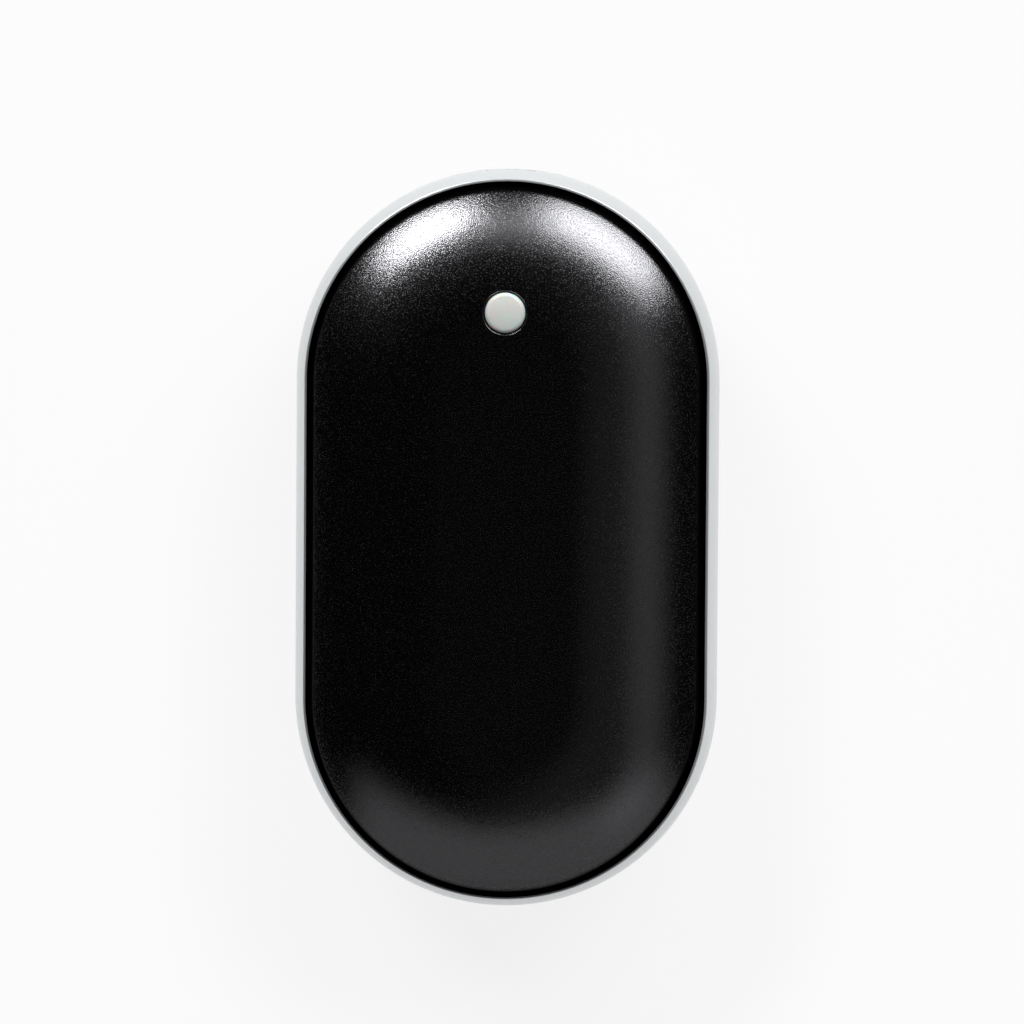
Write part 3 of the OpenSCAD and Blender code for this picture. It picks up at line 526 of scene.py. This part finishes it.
# Each row: material name, light and dark colour, metallic, lowest and highest roughness, pattern,
# pattern size in mm, bump height in mm, and settings of the shader that differ from its own.
FINISHES = {
    # Aluminium, deep drawn, bead-blasted and anodised black: a black satin whose blast grain breaks
    # every highlight into sparks. The grain of about 0.1 mm is drawn at 0.15 mm so that it shows.
    "black_shell": ("bead_blasted_black_anodised_aluminium", "#6E6E70", "#444446", 1.0, 0.16, 0.32,
                    "blast", 0.15, 0.019, {"Specular Tint": (0.0, 0.0, 0.0, 1.0)}),
    # ABS, moulded and sprayed pale silver: an even cool white with a soft gloss and slight orange peel.
    "band_plastic": ("silver_sprayed_abs", "#D6D9DA", "#D2D5D7", 0.65, 0.29, 0.33, "grain", 0.8, 0.0008,
                     {"Coat Weight": 0.25, "Coat Roughness": 0.15}),
    # Polycarbonate, moulded in white and lit from behind when the heater runs: milky and glossy.
    "button_plastic": ("milky_white_polycarbonate", "#DCDEDB", "#D4D7D5", 0.0, 0.18, 0.26,
                       "grain", 0.6, 0.001,
                       {"Subsurface Weight": 0.8, "Subsurface Scale": 1.5 * MM, "Coat Weight": 0.3}),
    # ABS, moulded and left unpainted: warm off-white with a dull spark-eroded texture.
    "liner_plastic": ("natural_abs", "#DAD8CF", "#CBC9C0", 0.0, 0.42, 0.6, "grain", 0.25, 0.004, {}),
    # Nylon with glass fibre, moulded: near-black with short pale streaks of fibre.
    "dark_plastic": ("glass_filled_nylon", "#2C2C2F", "#17171A", 0.0, 0.4, 0.62, "brushed", 0.12, 0.002, {}),
    # Steel, pressed and nickel plated: bright grey with fine rolling lines.
    "plated_steel": ("nickel_plated_steel", "#C9CBCB", "#A9ACAE", 1.0, 0.16, 0.34,
                     "brushed", 0.08, 0.0008, {}),
    # Glass-epoxy laminate under green mask: the weave of its glass cloth shows through as a fine check.
    "board_laminate": ("masked_glass_epoxy_laminate", "#2C7A4B", "#174F2C", 0.0, 0.22, 0.4,
                       "weave", 0.5, 0.003, {"Coat Weight": 0.4}),
    # Bronze, stamped and flash gilded: warm, smooth and bright.
    "gold_contact": ("gilded_bronze", "#E8C06A", "#C9963E", 1.0, 0.18, 0.3, "brushed", 0.05, 0.0005, {}),
    # Polycarbonate, moulded clear and frosted: a pale glowing plug in the band.
    "light_guide": ("frosted_clear_polycarbonate", "#F2F4F4", "#DDE3E6", 0.0, 0.3, 0.42, "grain", 0.15, 0.003,
                    {"Transmission Weight": 0.45, "IOR": 1.58}),
    # Silicone with phosphor, cast over the diode: opaque yellow with a soft skin.
    "led_resin": ("phosphor_silicone", "#EFE7A6", "#D9CC74", 0.0, 0.34, 0.5, "grain", 0.1, 0.002, {}),
    # Ferrite, pressed and sintered: charcoal ceramic with a dry grain.
    "ferrite": ("sintered_ferrite", "#47474B", "#2B2B2F", 0.2, 0.5, 0.75, "grain", 0.15, 0.006, {}),
    # Copper, enamelled and wound: turn beside turn, glossy under the enamel.
    "copper_wire": ("enamelled_copper_winding", "#C9743A", "#7E3B17", 1.0, 0.2, 0.36, "turns", 0.3, 0.04, {}),
    # Barium titanate, fired: matt tan ceramic with faint specks.
    "tan_ceramic": ("fired_titanate_ceramic", "#B79A6F", "#94774C", 0.0, 0.5, 0.7, "specks", 0.12, 0.003, {}),
    # Alumina with a black glass print: glossy and slightly uneven.
    "dark_ceramic": ("glass_printed_alumina", "#34343A", "#1D1D22", 0.0, 0.22, 0.4,
                     "specks", 0.15, 0.002, {}),
    # PVC sleeve, shrunk over the can: blue, glossy, with soft lengthwise tension marks.
    "cell_wrap": ("shrunk_pvc_sleeve", "#3577BC", "#265C98", 0.0, 0.2, 0.34, "brushed", 0.9, 0.006,
                  {"Coat Weight": 0.35}),
    # Vulcanised fibre, punched: off-white card with long fibres.
    "washer_card": ("vulcanised_fibre", "#EDEADD", "#D6D1BF", 0.0, 0.6, 0.8, "brushed", 0.15, 0.004, {}),
    # Nickel, rolled to strip: grey metal with lengthwise rolling lines.
    "nickel_strip": ("rolled_nickel", "#BDBFBC", "#9DA09D", 1.0, 0.22, 0.4, "brushed", 0.06, 0.001, {}),
    # Silicone insulation, extruded, in black: soft and a little dusty.
    "black_wire": ("black_silicone_insulation", "#29292B", "#161618", 0.0, 0.45, 0.62,
                   "grain", 0.2, 0.002, {}),
    # Silicone insulation, extruded, in red: soft and a little dusty.
    "red_wire": ("red_silicone_insulation", "#C0322A", "#96201B", 0.0, 0.45, 0.62, "grain", 0.2, 0.002, {}),
    # Flame-retardant ABS, moulded in charcoal: matt, with a spark-eroded texture.
    "tray_plastic": ("charcoal_flame_retardant_abs", "#3D4146", "#2A2D31", 0.0, 0.42, 0.6,
                     "grain", 0.25, 0.005, {}),
    # Polyimide film: glossy amber with a faint watery mottle.
    "amber_film": ("polyimide_film", "#D08A2A", "#A8631A", 0.0, 0.14, 0.26, "grain", 2.0, 0.004,
                   {"Coat Weight": 0.5}),
    # Constantan foil, etched: dull copper brown with a fine bite.
    "etched_metal": ("etched_constantan_foil", "#B0764A", "#86512D", 1.0, 0.32, 0.5, "grain", 0.1, 0.002, {}),
    # Epoxy, dipped over the sensor: black bead with an uneven gloss.
    "sensor_bead": ("dipped_epoxy", "#2A2F38", "#171A20", 0.0, 0.16, 0.32, "grain", 0.5, 0.01, {}),
    # Silicone foam sheet: open grey cells with darker pits.
    "grey_foam": ("silicone_foam", "#74797D", "#4C5054", 0.0, 0.75, 0.95, "cells", 0.35, 0.05, {}),
}


def painted_rim_shade(tree, place):
    """How much painted shade blackens a point of a shell's colour, from its distance to the middle plane of
    the
    case: 0 on the face, rising to 0.96 over the upper part of the bend. This painted shade makes the rim look
    black in place of the pale floor that it would otherwise mirror."""
    case = bpy.context.scene.warmer_case
    middle = case.thickness / 2
    bend = case.seam + case.rim_rise - middle
    height = add(tree, "ShaderNodeSeparateXYZ", {"Vector": place}, 2)
    height = add(tree, "ShaderNodeMath", {0: height, 1: middle}, operation="SUBTRACT")
    height = add(tree, "ShaderNodeMath", {0: height}, operation="ABSOLUTE")
    # Heights at which the painted shade begins and at which it is full.
    light, dark = bend + 0.85 * case.bend_radius, bend + 0.74 * case.bend_radius
    return add(tree, "ShaderNodeMapRange", {"Value": height, "From Min": light, "From Max": dark,
                                            "To Min": 0.0, "To Max": 0.96})


def finish(slot):
    """The finish of one of the record's material slots, made once. A grain, a stretched grain, a
    weave, the turns of a winding, specks or foam cells give the height for the bump, the spread of the
    roughness and the mix of the two colours."""
    name, light, dark, metallic, rough_low, rough_high, pattern, size, relief, extra = FINISHES[slot]
    if name in bpy.data.materials:
        return bpy.data.materials[name]
    made = bpy.data.materials.new(name)
    made.use_nodes = True
    tree = made.node_tree
    tree.nodes.clear()
    scale = 1 / (size * MM)
    place = add(tree, "ShaderNodeTexCoord", outputs=3)
    stretch = (1.0, 0.08, 1.0) if pattern == "brushed" else (1.0, 1.0, 1.0)
    spot = add(tree, "ShaderNodeMapping", {"Vector": place, "Scale": stretch})
    wave = {"Vector": spot, "Scale": scale / 20}
    if pattern == "blast":
        height = add(tree, "ShaderNodeTexNoise", {"Vector": spot, "Scale": scale, "Detail": 0.0})
    elif pattern in ("grain", "brushed"):
        height = add(tree, "ShaderNodeTexNoise", {"Vector": spot, "Scale": scale, "Detail": 3.0,
                                                  "Roughness": 0.6})
    elif pattern == "weave":
        across, along = (add(tree, "ShaderNodeTexWave", wave, 1, bands_direction=axis) for axis in "XY")
        height = add(tree, "ShaderNodeMath", {0: across, 1: along}, operation="MULTIPLY")
    elif pattern == "turns":
        height = add(tree, "ShaderNodeTexWave", wave, 1, bands_direction="Z")
    else:
        height = add(tree, "ShaderNodeTexVoronoi", {"Vector": spot, "Scale": scale, "Randomness": 0.9})
    cloud = add(tree, "ShaderNodeTexNoise", {"Vector": place, "Scale": scale / 12, "Detail": 2.0})
    # The clouds' part in the mix, and the height below which the surface is smoothest.
    clouded, smoothest = (0.0, 0.55) if pattern == "blast" else (0.35, 0.25)
    share = add(tree, "ShaderNodeMix", {0: clouded, 2: height, 3: cloud})
    body = add(tree, "ShaderNodeMix", {0: share, 6: linear(dark), 7: linear(light)}, 2, data_type="RGBA")
    # Painted shade: the shell's colour is mixed towards black over the rim's bend, so that the rim does not
    # show the pale floor's reflection.
    if slot == "black_shell":
        body = add(tree, "ShaderNodeMix", {0: painted_rim_shade(tree, place), 6: body, 7: (0.0, 0.0, 0.0, 1.0)}, 2,
                   data_type="RGBA")
    rough = add(tree, "ShaderNodeMapRange", {"Value": share, "From Min": smoothest, "From Max": 0.75,
                                             "To Min": rough_low, "To Max": rough_high})
    bump = add(tree, "ShaderNodeBump", {"Height": height, "Strength": 1.0, "Distance": relief * MM})
    shader = add(tree, "ShaderNodeBsdfPrincipled", {"Base Color": body, "Roughness": rough,
                                                    "Metallic": metallic, "Normal": bump, **extra})
    add(tree, "ShaderNodeOutputMaterial", {"Surface": shader})
    return made


# Operators

class DressShells(bpy.types.Operator):
    """Makes the front shell with its button hole, and the rear shell"""
    bl_idname = "hand_warmer.shells"
    bl_label = "Shells"

    def execute(self, context):
        case, button = context.scene.warmer_case, context.scene.warmer_button
        front = shell_grid(case, button)
        rear = shell_grid(case) * (1, 1, -1) + (0, 0, case.thickness)
        piece("front_shell_face", [(front, None)], "case", ["front_shell"], "black_shell")
        piece("rear_shell_face", [(rear, None)], "case", ["rear_shell"], "black_shell")
        return {"FINISHED"}


class DressBand(bpy.types.Operator):
    """Makes the band with the inlet's mouth, the light guides' holes, the flange and the screw lugs"""
    bl_idname = "hand_warmer.band"
    bl_label = "Band"

    def execute(self, context):
        patches = band_patches(context.scene.warmer_case, context.scene.warmer_inlet)
        piece("band_moulding", patches, "case", ["mid_frame"], "band_plastic")
        return {"FINISHED"}


class DressButton(bpy.types.Operator):
    """Makes the push button with its collar and stem"""
    bl_idname = "hand_warmer.button"
    bl_label = "Button"

    def execute(self, context):
        grid = button_grid(context.scene.warmer_case, context.scene.warmer_button)
        piece("button_head", [(grid, None)], "button", ["button_cap"], "button_plastic")
        return {"FINISHED"}


class DressInlet(bpy.types.Operator):
    """Makes the charging inlet's can and tongue"""
    bl_idname = "hand_warmer.inlet"
    bl_label = "Charging inlet"

    def execute(self, context):
        inlet = context.scene.warmer_inlet
        piece("inlet_can", [(can_grid(inlet), None)], "case", ["inlet_shell"], "plated_steel")
        middle, thick = (INLET_HIGH.z + INLET_LOW.z) / 2, (INLET_HIGH.z - INLET_LOW.z) / 4
        wide, back, front = TONGUE_HIGH.x, TONGUE_LOW.y, TONGUE_HIGH.y
        blade = bar_grid(wide, middle, middle + thick, back + 0.02 * MM, front, 0.12 * MM)
        block = bar_grid(wide, TONGUE_LOW.z, TONGUE_HIGH.z, back, back + thick, 0.06 * MM)
        piece("inlet_blade", [(blade, None), (block, None)], "case", ["inlet_tongue"], "dark_plastic")
        return {"FINISHED"}


class DressLightGuides(bpy.types.Operator):
    """Makes the two light guides beside the inlet"""
    bl_idname = "hand_warmer.light_guides"
    bl_label = "Light guides"

    def execute(self, context):
        case, inlet = context.scene.warmer_case, context.scene.warmer_inlet
        piece("light_guide_pair", [(guide_grid(side, case, inlet), None) for side in (-1, 1)], "case",
              ["light_guides"], "light_guide")
        return {"FINISHED"}


class FinishInside(bpy.types.Operator):
    """Gives every solid inside the case its finish"""
    bl_idname = "hand_warmer.inside"
    bl_label = "Inside"

    def execute(self, context):
        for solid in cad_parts.values():
            for held in solid.material_slots:
                held.material = finish(held.material.name)
        return {"FINISHED"}


class SetStudio(bpy.types.Operator):
    """Makes the pale floor with its low rim, the lamps, the dim room and the camera"""
    bl_idname = "hand_warmer.studio"
    bl_label = "Studio"

    # Name, tilt from straight above, heading from +X, width and height of the lamp as seen from the
    # case, all in degrees, and its brightness. All hang at the same distance.
    AWAY = 3.0
    LAMPS = (("key_left", 58, 122, 26, 10, 26.7),
             ("key_right", 57.6, 56, 38, 18, 10.5),
             ("between_keys", 50.5, 86, 68, 16, 1.35),
             ("side_right", 41, 6, 98, 18, 0.25),
             ("fill_low", 59, -87, 98, 41, 0.4),
             ("dim_top", 21, -24, 66, 27, 0.06))

    def execute(self, context):
        studio = context.scene.warmer_studio
        self.make_floor(context, studio)
        world = bpy.data.worlds.new("dim_room")
        world.use_nodes = True
        world.node_tree.nodes["Background"].inputs["Color"].default_value = studio.world_colour
        context.scene.world = world
        for name, tilt, heading, width, height, bright in self.LAMPS:
            tilt, heading = np.radians((tilt, heading))
            wide, tall = 2 * self.AWAY * np.tan(np.radians((width, height)) / 2)
            panel = bpy.data.lights.new(name, "AREA")
            panel.shape, panel.size, panel.size_y = "RECTANGLE", wide, tall
            panel.energy = studio.strength * bright * np.pi * wide * tall
            lamp = bpy.data.objects.new(name, panel)
            toward = Vector((np.sin(tilt) * np.cos(heading), np.sin(tilt) * np.sin(heading), np.cos(tilt)))
            across = Vector((-np.sin(heading), np.cos(heading), 0))
            turn = Matrix((across, toward.cross(across), toward)).transposed().to_4x4()
            lamp.matrix_world = Matrix.Translation(self.AWAY * toward) @ turn
            context.scene.collection.objects.link(lamp)
        self.make_camera(context)
        context.scene.view_settings.view_transform = "Standard"
        return {"FINISHED"}

    def make_floor(self, context, studio):
        """A level disc that turns up into a low rim far away, as one lathed sheet."""
        far, rise = 20.0, 1.8
        profile = np.vstack([[(0, 0)], [(far * 0.02, 0)], [(far * 0.3, 0)],
                             soften((far - rise, 0), (far, 0), (far, rise), 12)]) - (0, 0.02 * MM)
        grid = lathe(profile, (0, 0), 96)
        rows, columns = grid.shape[:2]
        mesh = bpy.data.meshes.new("floor")
        corner = np.arange(rows - 1)[:, None] * columns + np.arange(columns - 1)
        quads = np.stack([corner, corner + columns, corner + columns + 1, corner + 1], -1)
        mesh.from_pydata(grid.reshape(-1, 3), [], quads.reshape(-1, 4).tolist())
        mesh.shade_smooth()
        floor = bpy.data.objects.new("floor", mesh)
        context.scene.collection.objects.link(floor)
        paper = bpy.data.materials.new("matt_white_paper")
        paper.use_nodes = True
        tree = paper.node_tree
        tree.nodes.clear()
        matt = add(tree, "ShaderNodeBsdfDiffuse", {"Color": studio.floor_colour})
        white = add(tree, "ShaderNodeEmission", {"Strength": 1.0})
        rays = add(tree, "ShaderNodeLightPath").node.outputs
        looks = rays["Is Camera Ray"]
        for kind in ("Is Glossy Ray", "Is Transmission Ray"):
            looks = add(tree, "ShaderNodeMath", {0: looks, 1: rays[kind]}, operation="MAXIMUM")
        part = add(tree, "ShaderNodeMath", {0: looks, 1: 0.85}, operation="MULTIPLY")
        add(tree, "ShaderNodeOutputMaterial",
            {"Surface": add(tree, "ShaderNodeMixShader", {0: part, 1: matt, 2: white})})
        mesh.materials.append(paper)

    def make_camera(self, context):
        """A long lens nearly straight above: it looks at the target from 1.077 m, tilted by 2.0 degrees
        towards +X and 4.2 towards +Y, and rolled by 0.39 degrees."""
        target, away, focal = Vector((0.69, 3.67, 13.5)) * MM, 1.077, 266.6
        back = Vector((np.tan(np.radians(2.0)), np.tan(np.radians(4.2)), 1)).normalized()
        right = (-back).cross(Vector((0, 1, 0))).normalized()
        up = right.cross(-back)
        roll = np.radians(0.39)
        right, up = np.cos(roll) * right + np.sin(roll) * up, np.cos(roll) * up - np.sin(roll) * right
        lens = bpy.data.cameras.new("camera")
        lens.lens, lens.sensor_width = focal, 36
        camera = bpy.data.objects.new("camera", lens)
        turn = Matrix((right, up, back)).transposed().to_4x4()
        camera.matrix_world = Matrix.Translation(target + away * back) @ turn
        context.scene.collection.objects.link(camera)
        context.scene.camera = camera


class WarmerPanel(bpy.types.Panel):
    """Lists the steps that dress the hand warmer, and the sizes that they use"""
    bl_idname = "VIEW3D_PT_hand_warmer"
    bl_label = "Hand warmer"
    bl_space_type = "VIEW_3D"
    bl_region_type = "UI"
    bl_category = "Hand warmer"

    def draw(self, context):
        for step in STEPS:
            self.layout.operator(step.bl_idname)
        for group in GROUPS:
            settings = getattr(context.scene, group)
            for name in settings.bl_rna.properties.keys()[2:]:
                self.layout.prop(settings, name)


STEPS = (DressShells, DressBand, DressButton, DressInlet, DressLightGuides, FinishInside, SetStudio)
GROUPS = {"warmer_case": CaseSizes, "warmer_button": ButtonSizes, "warmer_inlet": InletSizes,
          "warmer_studio": StudioSettings}


def register():
    for kind in (*GROUPS.values(), *STEPS, WarmerPanel):
        bpy.utils.register_class(kind)
    for name, group in GROUPS.items():
        setattr(bpy.types.Scene, name, PointerProperty(type=group))


def unregister():
    for name in GROUPS:
        delattr(bpy.types.Scene, name)
    for kind in reversed((*GROUPS.values(), *STEPS, WarmerPanel)):
        bpy.utils.unregister_class(kind)


def main():
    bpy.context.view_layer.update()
    register()
    for step in STEPS:
        group, name = step.bl_idname.split(".")
        getattr(getattr(bpy.ops, group), name)()


if __name__ == "__main__":
    main()
